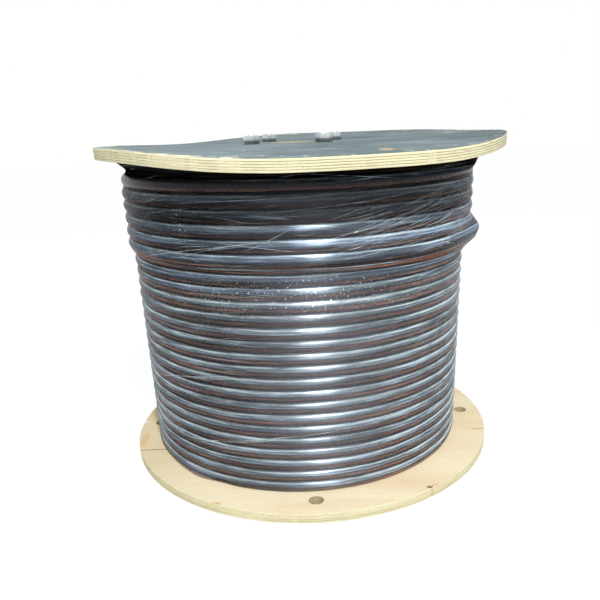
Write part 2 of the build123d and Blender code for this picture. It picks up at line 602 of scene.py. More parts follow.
@dataclass(frozen=True)
class FilmFinish:
    """Several turns of clear stretch film on black cable.

    Its colour is a painted reflection: the upper flank of a turn is painted with the sky, the lower flank
    with the warm ground and the grooves with shade; wrinkles break these into streaks, and bunched film
    goes milky.
    """

    name: str = "stretch_film"
    alpha: float = 0.44
    dense_alpha: float = 0.86
    specular: float = 0.2
    coat: float = 0.6
    metal: float = 0.6
    streak_rough: float = 0.62
    relief: float = 0.4 * MM
    under_end: tuple[float, float] = (0.36, 0.50)
    milk: Colour = (0.12, 0.175, 0.25)
    highlight_glow: Colour = (0.35, 0.395, 0.47)
    step_reflection: Colour = (0.50, 0.165, 0.05)
    ground_reflection: Colour = (0.37, 0.135, 0.08)
    glint: Colour = (0.95, 0.97, 1.0)
    wrinkle: Colour = (0.40, 0.49, 0.57)
    cream: Colour = (0.52, 0.52, 0.45)
    teal: Colour = (0.33, 0.40, 0.40)
    # Painted reflection round one turn, from the groove below to the groove above: painted shade in both
    # grooves, the warm ground on the lower flank and the sky on the upper flank.
    stops: tuple[tuple[float, Colour], ...] = (
        (0.00, (0.045, 0.045, 0.053)),
        (0.08, (0.060, 0.055, 0.060)),
        (0.15, (0.200, 0.190, 0.195)),
        (0.22, (0.125, 0.115, 0.115)),
        (0.33, (0.180, 0.155, 0.155)),
        (0.42, (0.100, 0.095, 0.105)),
        (0.50, (0.050, 0.056, 0.068)),
        (0.56, (0.150, 0.185, 0.215)),
        (0.64, (0.250, 0.305, 0.350)),
        (0.70, (0.170, 0.215, 0.260)),
        (0.78, (0.390, 0.475, 0.525)),
        (0.86, (0.610, 0.725, 0.770)),
        (0.92, (0.125, 0.145, 0.165)),
        (1.00, (0.050, 0.054, 0.064)),
    )

    def streak(
        self, shader: Shader, tilt: float, along: float, across: float, detail: float = 4.0
    ) -> Socket:
        """Noise drawn out along the wrap.

        Args:
            shader: The material that is wired.
            tilt: How much the streaks rise over one turn of the reel, as a share of its height.
            along: Streaks in one turn of the reel.
            across: Streaks in the reel's height.
            detail: How many finer layers the noise has.

        Returns:
            The noise, between 0 and 1.
        """
        turn, height = shader.sheet("wrap")
        risen = shader.math(Operation.SUBTRACT, height, shader.times(turn, tilt))
        vector = shader.spread(shader.times(turn, along), shader.times(risen, across))
        return shader.noise(vector, detail, self.streak_rough)

    def tone(self, shader: Shader, level: Socket) -> Socket:
        """The painted reflection and groove shade by the place on the turn.

        Args:
            shader: The material that is wired.
            level: The streaks along the turns.

        Returns:
            The colour before the painted light and shade of the film's place on the reel scale it.
        """
        low_turn, high_turn = shader.sheet("turns")
        upper = shader.math(Operation.GREATER, shader.attribute("loose"), 0.5)
        turn = shader.between(upper, low_turn, high_turn)
        turn = shader.add(turn, shader.times(shader.add(level, -0.5), 0.3))
        phase = shader.math(Operation.MODULO, shader.add(turn, 0.5), 1.0)
        # Painted reflection and groove shade, read by the place on the turn.
        colour = shader.ramp(phase, self.stops)
        # Painted reflection of the warm ground along the lower flank.
        under = shader.math(
            Operation.SUBTRACT, shader.band(phase, 0.11, 0.19), shader.band(phase, *self.under_end)
        )
        patch = shader.band(self.streak(shader, 0.0, 22.0, 60.0), 0.36, 0.58)
        share = shader.times(under, shader.line(patch, 0.65, 0.35))
        return shader.mix(shader.times(share, shader.attribute("warm")), colour, self.ground_reflection)

    def build(self) -> bpy.types.Material:
        """Wires the film.

        Returns:
            The material, which reads the numbers kept on the wraps.
        """
        shader = Shader(self.name)
        level = self.streak(shader, 0.0, 12.0, 120.0, 5.0)
        rising = self.streak(shader, 0.45, 14.0, 150.0, 5.0)
        falling = self.streak(shader, -0.35, 10.0, 130.0, 5.0)
        fine = self.streak(shader, 0.0, 45.0, 260.0, 3.0)
        loose = shader.attribute("loose")
        crossed = shader.math(Operation.MAXIMUM, rising, falling)
        dark = shader.band(level, 0.34, 0.52)
        bright = shader.band(level, 0.56, 0.72)
        patch = shader.band(self.streak(shader, 0.12, 9.0, 26.0, 3.0), 0.34, 0.66)
        gain = shader.add(shader.times(dark, 0.35), shader.line(bright, 0.6, 0.62))
        gain = shader.times(gain, shader.line(patch, 0.7, 0.6))
        gain = shader.times(gain, shader.line(shader.band(fine, 0.3, 0.7), 0.8, 0.6))
        # Painted light and shade: the colour is scaled by the painted light level of its place on the reel.
        gain = shader.times(gain, shader.attribute("painted_light_level"))
        dimmed = shader.node("ShaderNodeVectorMath", operation="SCALE")
        shader.feed(dimmed.inputs[0], self.tone(shader, level))
        shader.feed(dimmed.inputs["Scale"], gain)
        colour = shader.mix(shader.attribute("bunched"), dimmed.outputs[0], self.milk)
        creased = shader.times(shader.band(crossed, 0.63, 0.72), shader.line(loose, 0.62, 0.06))
        colour = shader.mix(creased, colour, self.wrinkle)
        # Painted glow round the lamp's highlight down the front of the wrap.
        colour = shader.mix(shader.attribute("highlight_glow_share"), colour, self.highlight_glow)
        # Painted reflection of the warm ground on the film just under the step.
        step_reflection_amount = shader.band(self.streak(shader, 0.0, 9.0, 120.0, 4.0), 0.30, 0.48)
        colour = shader.mix(shader.times(step_reflection_amount, shader.attribute("step_reflection_share")), colour, self.step_reflection)
        drawn = shader.band(self.streak(shader, 0.05, 7.0, 90.0, 4.0), 0.59, 0.68)
        drawn = shader.times(drawn, shader.line(loose, -0.45, 0.55))
        colour = shader.mix(drawn, colour, self.cream)
        mottle = shader.band(self.streak(shader, 0.3, 90.0, 120.0, 4.0), 0.50, 0.66)
        colour = shader.mix(shader.times(mottle, shader.attribute("mottled")), colour, self.teal)
        # Painted glints: small white highlights of the lamp on the film.
        glint_spots = shader.band(self.streak(shader, 0.0, 420.0, 150.0, 1.0), 0.655, 0.69)
        colour = shader.mix(shader.times(glint_spots, shader.attribute("glint_share")), colour, self.glint)
        shader.set(
            Base_Color=colour,
            Metallic=shader.between(shader.attribute("dense"), self.metal, 0.0),
            Roughness=0.40,
            Specular_IOR_Level=self.specular,
            Anisotropic=0.9,
            Anisotropic_Rotation=0.25,
            Tangent=shader.node("ShaderNodeTangent", direction_type="UV_MAP", uv_map="wrap").outputs[0],
            Alpha=shader.between(shader.attribute("dense"), self.alpha, self.dense_alpha),
            Coat_Weight=shader.times(shader.attribute("polished"), self.coat),
            Coat_Roughness=0.19,
        )
        lines = shader.between(loose, level, crossed)
        relief = shader.add(shader.times(fine, 0.35), shader.times(lines, 1.6))
        shader.bump(relief, 0.45, self.relief)
        return shader.material


@dataclass(frozen=True)
class FoldFinish:
    """Film doubled over on itself in a crease."""

    name: str = "film_fold"
    milk: Colour = (0.62, 0.66, 0.66)
    grey: Colour = (0.42, 0.48, 0.52)
    alpha: float = 0.5

    def build(self) -> bpy.types.Material:
        """Wires the fold."""
        shader = Shader(self.name)
        patch = shader.band(shader.grain((120, 120, 120)), 0.3, 0.7)
        shader.set(
            Base_Color=shader.mix(patch, self.milk, self.grey),
            Roughness=0.22,
            Alpha=shader.times(shader.add(patch, 0.6), self.alpha),
        )
        return shader.material


@dataclass(frozen=True)
class ZincFinish:
    """Bright zinc plate with dim patches, and painted shade that darkens it below a height."""

    name: str = "zinc_plate"
    bright: Colour = (0.80, 0.83, 0.83)
    dull_and_shade: Colour = (0.16, 0.175, 0.18)
    shaded_below: float = 284.6 * MM
    unshaded_above: float = 287.2 * MM
    relief: float = 0.1 * MM

    def build(self) -> bpy.types.Material:
        """Wires the plate."""
        shader = Shader(self.name)
        patch = shader.grain((420, 420, 420), 4.0)
        # Painted shade: below a height the zinc darkens, over the lower part of each nut and the bolts
        # beneath; worn joins the dim patches and this painted shade.
        rise = shader.split(shader.place())[2]
        side = shader.rest(shader.band(rise, self.shaded_below, self.unshaded_above))
        worn = shader.math(Operation.MAXIMUM, shader.times(shader.band(patch, 0.5, 0.72), 0.6), side)
        shader.set(
            Base_Color=shader.mix(worn, self.bright, self.dull_and_shade),
            Metallic=1.0,
            Roughness=shader.line(patch, 0.3, 0.14),
        )
        shader.bump(patch, 0.2, self.relief)
        return shader.material


@dataclass(frozen=True)
class FibreFinish:
    """Matt wound fibre of the barrel."""

    name: str = "barrel_fibre"
    light: Colour = (0.50, 0.36, 0.22)
    dark: Colour = (0.33, 0.22, 0.12)
    relief: float = 0.2 * MM

    def build(self) -> bpy.types.Material:
        """Wires the fibre."""
        shader = Shader(self.name)
        grain = shader.grain((60, 60, 500), 4.0)
        shader.set(Base_Color=shader.mix(grain, self.light, self.dark), Roughness=0.85)
        shader.bump(grain, 0.3, self.relief)
        return shader.material


# The reel


@dataclass
class ReelSizes:
    """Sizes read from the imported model, in metres."""

    flange_radius: float
    flange_thickness: float
    inner_bottom: float
    inner_top: float
    hub: Vector
    arbor_radius: float
    tie_radius: float
    barrel_radius: float
    winding_top: float
    ties: dict[str, list[Vector]]
    bolts: list[Vector]
    side_rise: float = 3.3 * MM
    right_rise: float = 1.0 * MM
    back_rise: float = 6.0 * MM
    corner_rise: float = 21.4 * MM
    warp_overrun: float = 1.0 * MM

    @classmethod
    def read(cls) -> "ReelSizes":
        """Reads the boxes of the nodes and the mounts of the record.

        Returns:
            The reel's sizes.
        """
        mounts = {mount["name"]: mount for mount in frame["record"]["mounts"]}
        low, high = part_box("bottom_flange")
        arbor = mounts["arbor_bore"]["dims"]
        thickness = high.z - low.z
        hub_top = arbor["length_mm"] * MM
        ties = {
            level: [Vector(m["pos_m"]) for n, m in mounts.items() if n.startswith(level + "_tie_hole")]
            for level in ("bottom", "top")
        }
        barrel_low, barrel_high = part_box("barrel")
        bolts = []
        for number in range(1, 5):
            bolt_low, bolt_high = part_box(f"tie_bolt_{number}")
            bolts.append((bolt_low + bolt_high) / 2)
        return cls(
            flange_radius=high.x,
            flange_thickness=thickness,
            inner_bottom=thickness,
            inner_top=hub_top - thickness,
            hub=Vector((*mounts["arbor_bore"]["pos_m"][:2], 0.0)),
            arbor_radius=arbor["r_mm"] * MM,
            tie_radius=mounts["bottom_tie_hole_front"]["dims"]["r_mm"] * MM,
            barrel_radius=(barrel_high.x - barrel_low.x) / 2,
            winding_top=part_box("cable_winding")[1].z,
            ties=ties,
            bolts=bolts,
        )

    def warp(self, x: Array, y: Array) -> Array:
        """How far the top flange stands above the flat at a place."""
        half = self.flange_radius + self.warp_overrun
        across, along = x / half, y / half
        rise = self.side_rise * across**4 + self.right_rise * across**3 + self.back_rise * along**3
        return rise + self.corner_rise * across**3 * along**3


@dataclass
class Flange:
    """One plywood disc with its holes, its ply joints as fine grooves and a worn rim."""

    sizes: ReelSizes
    node: str
    bottom: float
    ties: list[Vector]
    finish: PlywoodFinish
    slot: Slot
    warped: bool
    seed: int
    rim_steps: int = 360
    hole_steps: int = 40
    cell: float = 12.0 * MM
    groove: float = 0.16 * MM
    groove_half: float = 0.14 * MM
    worn_edge: float = 0.55 * MM
    bolt_hole: float = 4.2 * MM
    overrun: float = 2.0 * MM
    rim_depth: float = 0.3 * MM
    hole_reach: float = 4.0 * MM
    near: float = 0.01 * MM
    smooth_angle: float = 38.0

    def cut(self, disc: Piece, low: float, high: float) -> None:
        """Cuts the arbor hole, the tie holes and the bolt holes.

        Args:
            disc: The plain disc.
            low: A height below it.
            high: A height above it.
        """
        sizes = self.sizes
        holes = [("arbor", sizes.hub, sizes.arbor_radius)]
        holes += [("tie", place, sizes.tie_radius) for place in self.ties]
        holes += [("bolt", place, self.bolt_hole) for place in sizes.bolts]
        tools = [post(name, place, radius, low, high, self.hole_steps) for name, place, radius in holes]
        pick(tools[0])
        for tool in tools[1:]:
            tool.select_set(True)
        bpy.ops.object.join()
        carve(disc, tools[0], Carving.CUT)

    def bisect(self, planes: list[tuple[Vector, Vector]]) -> None:
        """Cuts edges across the open mesh along each plane."""
        for place, direction in planes:
            bpy.ops.mesh.select_all(action="SELECT")
            bpy.ops.mesh.bisect(plane_co=place, plane_no=direction)

    def build(self) -> Piece:
        """Models the disc and gives it its finish.

        Returns:
            The flange, which stands for its node.
        """
        sizes = self.sizes
        top = self.bottom + sizes.flange_thickness
        name = self.node + "_ply"
        disc = post(name, Vector((0, 0, 0)), sizes.flange_radius, self.bottom, top, self.rim_steps)
        self.cut(disc, self.bottom - self.overrun, top + self.overrun)
        self.shape_edge(disc, top)
        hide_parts(self.node)
        return put_on(disc, self.slot, self.finish.build())

    def beat(self, rng: np.random.Generator, azimuth: Array, first: int, second: int) -> Array:
        """Two counts of waves round the rim, each shifted by a draw, times each other."""
        wave = np.sin(azimuth * first + rng.uniform(0, 6))
        return wave * np.sin(azimuth * second + rng.uniform(0, 6))

    def shape_edge(self, disc: Piece, top: float) -> None:
        """Adds the ply joints and the worn rim, then bends the disc to its warp.

        Args:
            disc: The flat disc with its holes.
            top: The height of its upper face before it is bent.
        """
        sizes = self.sizes
        ply = sizes.flange_thickness / self.finish.plies
        up = Vector((0, 0, 1))
        joints = [self.bottom + ply * k for k in range(1, self.finish.plies)]
        heights = [joint + shift * self.groove_half for joint in joints for shift in (-1, 0, 1)]
        heights += [self.bottom + self.worn_edge, top - self.worn_edge]
        edit_all(disc)
        self.bisect([(Vector((0, 0, height)), up) for height in heights])
        if self.warped:
            cells = int(sizes.flange_radius / self.cell)
            lines = [k * self.cell for k in range(-cells, cells + 1)]
            self.bisect([(Vector((line, 0, 0)), Vector((1, 0, 0))) for line in lines])
            self.bisect([(Vector((0, line, 0)), Vector((0, 1, 0))) for line in lines])
        bpy.ops.mesh.select_all(action="SELECT")
        bpy.ops.mesh.quads_convert_to_tris()
        bpy.ops.object.mode_set(mode="OBJECT")
        points = points_of(disc)
        reach = np.hypot(points[:, 0], points[:, 1])
        on_rim = reach > sizes.flange_radius - self.rim_depth
        azimuth = np.arctan2(points[:, 0], -points[:, 1])
        height = points[:, 2].copy()
        inward = np.zeros(len(points))
        for joint in joints:
            inward[np.abs(height - joint) < 0.2 * self.groove_half] = self.groove
        rng = np.random.default_rng(self.seed)
        for edge in (self.bottom, top):
            wear = 0.35 + 0.25 * self.beat(rng, azimuth, 7, 17)
            chip = np.clip(self.beat(rng, azimuth, 41, 13) - 0.6, 0, 1)
            at_edge = np.abs(height - edge) < self.near
            inward[at_edge] = ((wear + 1.6 * chip) * self.worn_edge)[at_edge]
        scale = np.where(on_rim, 1 - inward / np.maximum(reach, CLOSE), 1.0)
        points[:, 0] *= scale
        points[:, 1] *= scale
        if self.warped:
            points[:, 2] += sizes.warp(points[:, 0], points[:, 1])
        move_points(disc, points)
        remember(disc, "ply", (height - self.bottom) / sizes.flange_thickness)
        # Marks the inner part of the disc, so the hole walls get their painted shade.
        remember(disc, "hole", (reach < sizes.flange_radius - self.hole_reach).astype(float))
        merge_and_face_out(disc)
        smooth_by_angle(disc, self.smooth_angle)


@dataclass
class CableWinding:
    """The cable's turns: two layers that show, laid on a plain core of the hidden layers."""

    sizes: ReelSizes
    finish: JacketFinish
    cable_radius: float = 5.15 * MM
    outer_crest: float = 152.2 * MM
    turns: int = 25
    laid_turns: int = 18
    extra_turns: int = 6
    extra_crest: float = 157.0 * MM
    extra_lean: float = 1.4 * MM
    extra_top: float = 258.0 * MM
    extra_pitch: float = 10.5 * MM
    crossing_middle: float = 180.0
    crossing_width: float = 50.0
    end_azimuth: float = 84.0
    end_flare: float = 7.0 * MM
    end_flare_degrees: float = 26.0
    end_drop: float = 4.0 * MM
    end_drop_start: float = -60.0
    end_drop_degrees: float = 110.0
    end_loose_degrees: float = 220.0
    wander_out: float = 0.15 * MM
    wander_up: float = 0.2 * MM
    wander_rates: tuple[float, ...] = (0.71, 1.37, 2.63, 5.19)
    wander_up_rate: float = 1.3
    steps: int = 120
    sides: int = 16
    smooth_angle: float = 50.0
    core_steps: int = 96
    core_gap: float = 0.3 * MM
    core_overlap: float = 1.0 * MM
    core_layer_share: float = 0.87
    core_end_share: float = 0.7
    core_arc_steps: int = 6
    core_angle: float = 60.0
    seed: int = 11

    @property
    def pitch(self) -> float:
        """The height of one turn."""
        return (self.sizes.winding_top - self.sizes.inner_bottom) / self.turns

    @property
    def first_height(self) -> float:
        """The middle of the lowest turn."""
        return self.sizes.inner_bottom + self.pitch / 2

    @property
    def crossing_start(self) -> float:
        """The azimuth where the turns begin to climb, in degrees."""
        return self.crossing_middle - self.crossing_width / 2

    @property
    def crossing_end(self) -> float:
        """The azimuth where the turns lie level again, in degrees."""
        return self.crossing_middle + self.crossing_width / 2

    @property
    def extra_travel(self) -> float:
        """How far the extra layer goes round, in degrees."""
        return (self.extra_turns - 1) * 360.0 + (self.end_azimuth - self.crossing_end) % 360.0

    def climb(self, degrees: Array) -> Array:
        """How many turns the cable has climbed since it left the crossing at the back.

        Args:
            degrees: Degrees travelled since the end of the crossing.

        Returns:
            Whole turns while it lies level, rising by one in each crossing.
        """
        whole = np.floor(degrees / 360.0)
        rest = degrees - whole * 360.0
        return whole + ease((rest - (360.0 - self.crossing_width)) / self.crossing_width)

    def phase(self, azimuth: Array) -> Array:
        """The share of a pitch that the turns stand higher at an azimuth in degrees."""
        return ease(((azimuth - self.crossing_start) % 360.0) / self.crossing_width)

    def last_turn_drop(self, azimuth: Array) -> Array:
        """How far the extra layer's last turn slides down towards its end."""
        return self.end_drop * ease((azimuth - self.end_drop_start) / self.end_drop_degrees)

    def extra_radius(self, azimuth: Array) -> Array:
        """The extra layer's outermost radius, which leans to the right."""
        return self.extra_crest + self.extra_lean * np.sin(np.radians(azimuth))

    def tube(self, name: str, travel: float) -> Piece:
        """A tube of the cable's section, screwed about the axis at no height from the crossing's end.

        Args:
            name: The piece's name.
            travel: How far it goes round, in degrees.

        Returns:
            The tube, its sections in order, each of the same count of vertices.
        """
        turn = math.radians(self.crossing_end - 90.0)
        deselect()
        bpy.ops.mesh.primitive_circle_add(
            vertices=self.sides, radius=self.cable_radius, rotation=(math.pi / 2, 0, 0)
        )
        tube = newest(name)
        points = points_of(tube)
        points[:, 0] += 1.0
        move_points(tube, points @ np.array(Matrix.Rotation(-turn, 3, "Z")))
        screw = tube.modifiers.new("lay", "SCREW")
        screw.angle = math.radians(travel)
        screw.steps = int(travel / 360.0 * self.steps)
        screw.render_steps = screw.steps
        screw.use_merge_vertices = False
        apply_modifiers(tube)
        edit_all(tube)
        bpy.ops.mesh.select_all(action="DESELECT")
        bpy.ops.mesh.select_non_manifold()
        bpy.ops.mesh.edge_face_add()
        bpy.ops.object.mode_set(mode="OBJECT")
        return tube

    def lay(self, name: str, travel: float, path: Callable[[Array], tuple[Array, Array]]) -> Piece:
        """Carries a tube's sections to a path round the reel.

        Args:
            name: The piece's name.
            travel: How far it goes round from the crossing's end, in degrees.
            path: Gives the radius and height of the cable's middle for the degrees travelled.

        Returns:
            The layer.
        """
        tube = self.tube(name, travel)
        points = points_of(tube)
        count = len(points) // self.sides
        section = np.arange(len(points)) // self.sides
        gone = section / (count - 1) * travel
        radius, height = path(gone)
        azimuth = np.radians(self.crossing_end + gone)
        out = points[:, 0] * np.sin(azimuth) - points[:, 1] * np.cos(azimuth) - 1.0
        move_points(tube, around(azimuth, radius + out, height + points[:, 2]))
        merge_and_face_out(tube)
        smooth_by_angle(tube, self.smooth_angle)
        return tube

    def waver(self, gone: Array, reach: float) -> Array:
        """A small wander along the cable."""
        rng = np.random.default_rng(self.seed)
        total = np.zeros_like(gone)
        for rate in self.wander_rates:
            total += np.sin(np.radians(gone) * rate + rng.uniform(0, math.tau)) / len(self.wander_rates)
        return reach * total

    def outer_path(self, gone: Array) -> tuple[Array, Array]:
        """The full layer's path: level turns that climb at the back."""
        radius = self.outer_crest - self.cable_radius + self.waver(gone, self.wander_out)
        height = self.first_height + self.pitch * self.climb(gone)
        return radius, height + self.waver(gone * self.wander_up_rate, self.wander_up)

    def extra_path(self, gone: Array) -> tuple[Array, Array]:
        """The extra layer's path: down from the top, its loose end sprung outwards."""
        azimuth = wrapped(self.crossing_end + gone)
        to_end = self.extra_travel - gone
        drop = np.where(to_end < self.end_loose_degrees, self.last_turn_drop(azimuth), 0.0)
        flare = self.end_flare * ease((self.end_flare_degrees - to_end) / self.end_flare_degrees)
        height = self.extra_top - self.extra_pitch * self.climb(gone) - drop
        radius = self.extra_radius(azimuth) - self.cable_radius + flare
        return radius + self.waver(gone, self.wander_up), height

    def core(self) -> Piece:
        """The hidden layers as one turned piece, with the ends of their turns."""
        inner = self.sizes.barrel_radius + self.core_gap
        outer = self.outer_crest - 2 * self.cable_radius + self.core_overlap
        layers = int((outer - inner) / (2 * self.cable_radius * self.core_layer_share))
        width = (outer - inner) / layers
        low, high = self.sizes.inner_bottom + self.core_gap, self.sizes.winding_top - self.core_gap
        arc = [math.pi * k / self.core_arc_steps for k in range(self.core_arc_steps)]
        depth = self.cable_radius * self.core_end_share
        profile = []
        for level, sign, order in ((low, 1, range(layers)), (high, -1, reversed(range(layers)))):
            for layer in order:
                middle = inner + width * (layer + 0.5)
                for angle in arc:
                    radius = middle - sign * math.cos(angle) * width / 2
                    profile.append((radius, level + sign * depth * (1 - math.sin(angle))))
            edge = outer if sign > 0 else inner
            profile.append((edge, level + sign * depth))
        core = turned("cable_inner_layers", profile, self.core_steps)
        smooth_by_angle(core, self.core_angle)
        return core

    def build(self) -> list[Piece]:
        """Lays the cable.

        Returns:
            The core and the two layers, which stand for the winding's node.
        """
        travel = self.laid_turns * 360.0 - self.crossing_width
        outer = self.lay("cable_outer_layer", travel, self.outer_path)
        extra = self.lay("cable_extra_layer", self.extra_travel, self.extra_path)
        material = self.finish.build()
        pieces = [self.core(), outer, extra]
        for piece in pieces:
            piece.data.transform(Matrix.Translation(self.sizes.hub))
            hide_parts("cable_winding")
            put_on(piece, Slot.JACKET, material)
        return pieces


@dataclass(frozen=True)
class Bell:
    """A zone that is 1 at its middle and fades to both sides."""

    middle: float
    width: float

    def at(self, value: Array) -> Array:
        """The zone's share at a value."""
        return hump(value, self.middle, self.width)


@dataclass(frozen=True)
class Rise:
    """A smooth step from 0 at its start to 1 past its length, which is negative where it falls."""

    start: float
    length: float

    def at(self, value: Array) -> Array:
        """The step's share at a value."""
        return ease((value - self.start) / self.length)


class Slant(Enum):
    """Which way the creases of a field lean."""

    AS_DRAWN = "as drawn"
    EITHER = "either way"
    EITHER_LEFT = "either way, and flatter, on the left"


@dataclass(frozen=True)
class Crease:
    """A fold in the film; its ends are an azimuth in degrees and a height in millimetres."""

    start: tuple[float, float]
    end: tuple[float, float]
    bow: float
    width: float


@dataclass(frozen=True)
class CreaseField:
    """Short creases scattered over a part of the film, sizes in degrees and millimetres."""

    count: int
    azimuths: tuple[float, float]
    heights: tuple[float, float]
    lengths: tuple[float, float]
    slopes: tuple[float, float]
    bow: float
    widths: tuple[float, float]
    slant: Slant = Slant.AS_DRAWN
    lean: float = 0.0
    left_of: float = 10.0
    left_share: float = 0.6

    def slope(self, rng: np.random.Generator, azimuth: float) -> float:
        """Draws the millimetres that a crease rises in each degree."""
        if self.slant is Slant.EITHER:
            return rng.choice([-1.0, 1.0]) * rng.uniform(*self.slopes)
        slope = rng.uniform(*self.slopes)
        if self.slant is Slant.EITHER_LEFT and azimuth <= self.left_of:
            slope *= rng.choice([-1.0, 1.0]) * self.left_share
        return slope

    def scatter(self, rng: np.random.Generator) -> list[Crease]:
        """Draws the field's creases."""
        folds = []
        for _ in range(self.count):
            azimuth = rng.uniform(*self.azimuths)
            height = rng.uniform(*self.heights) + self.lean * (azimuth - self.azimuths[0])
            length = rng.uniform(*self.lengths)
            end = (azimuth + length, height + length * self.slope(rng, azimuth))
            bow = rng.uniform(-self.bow, self.bow)
            folds.append(Crease((azimuth, height), end, bow, rng.uniform(*self.widths)))
        return folds


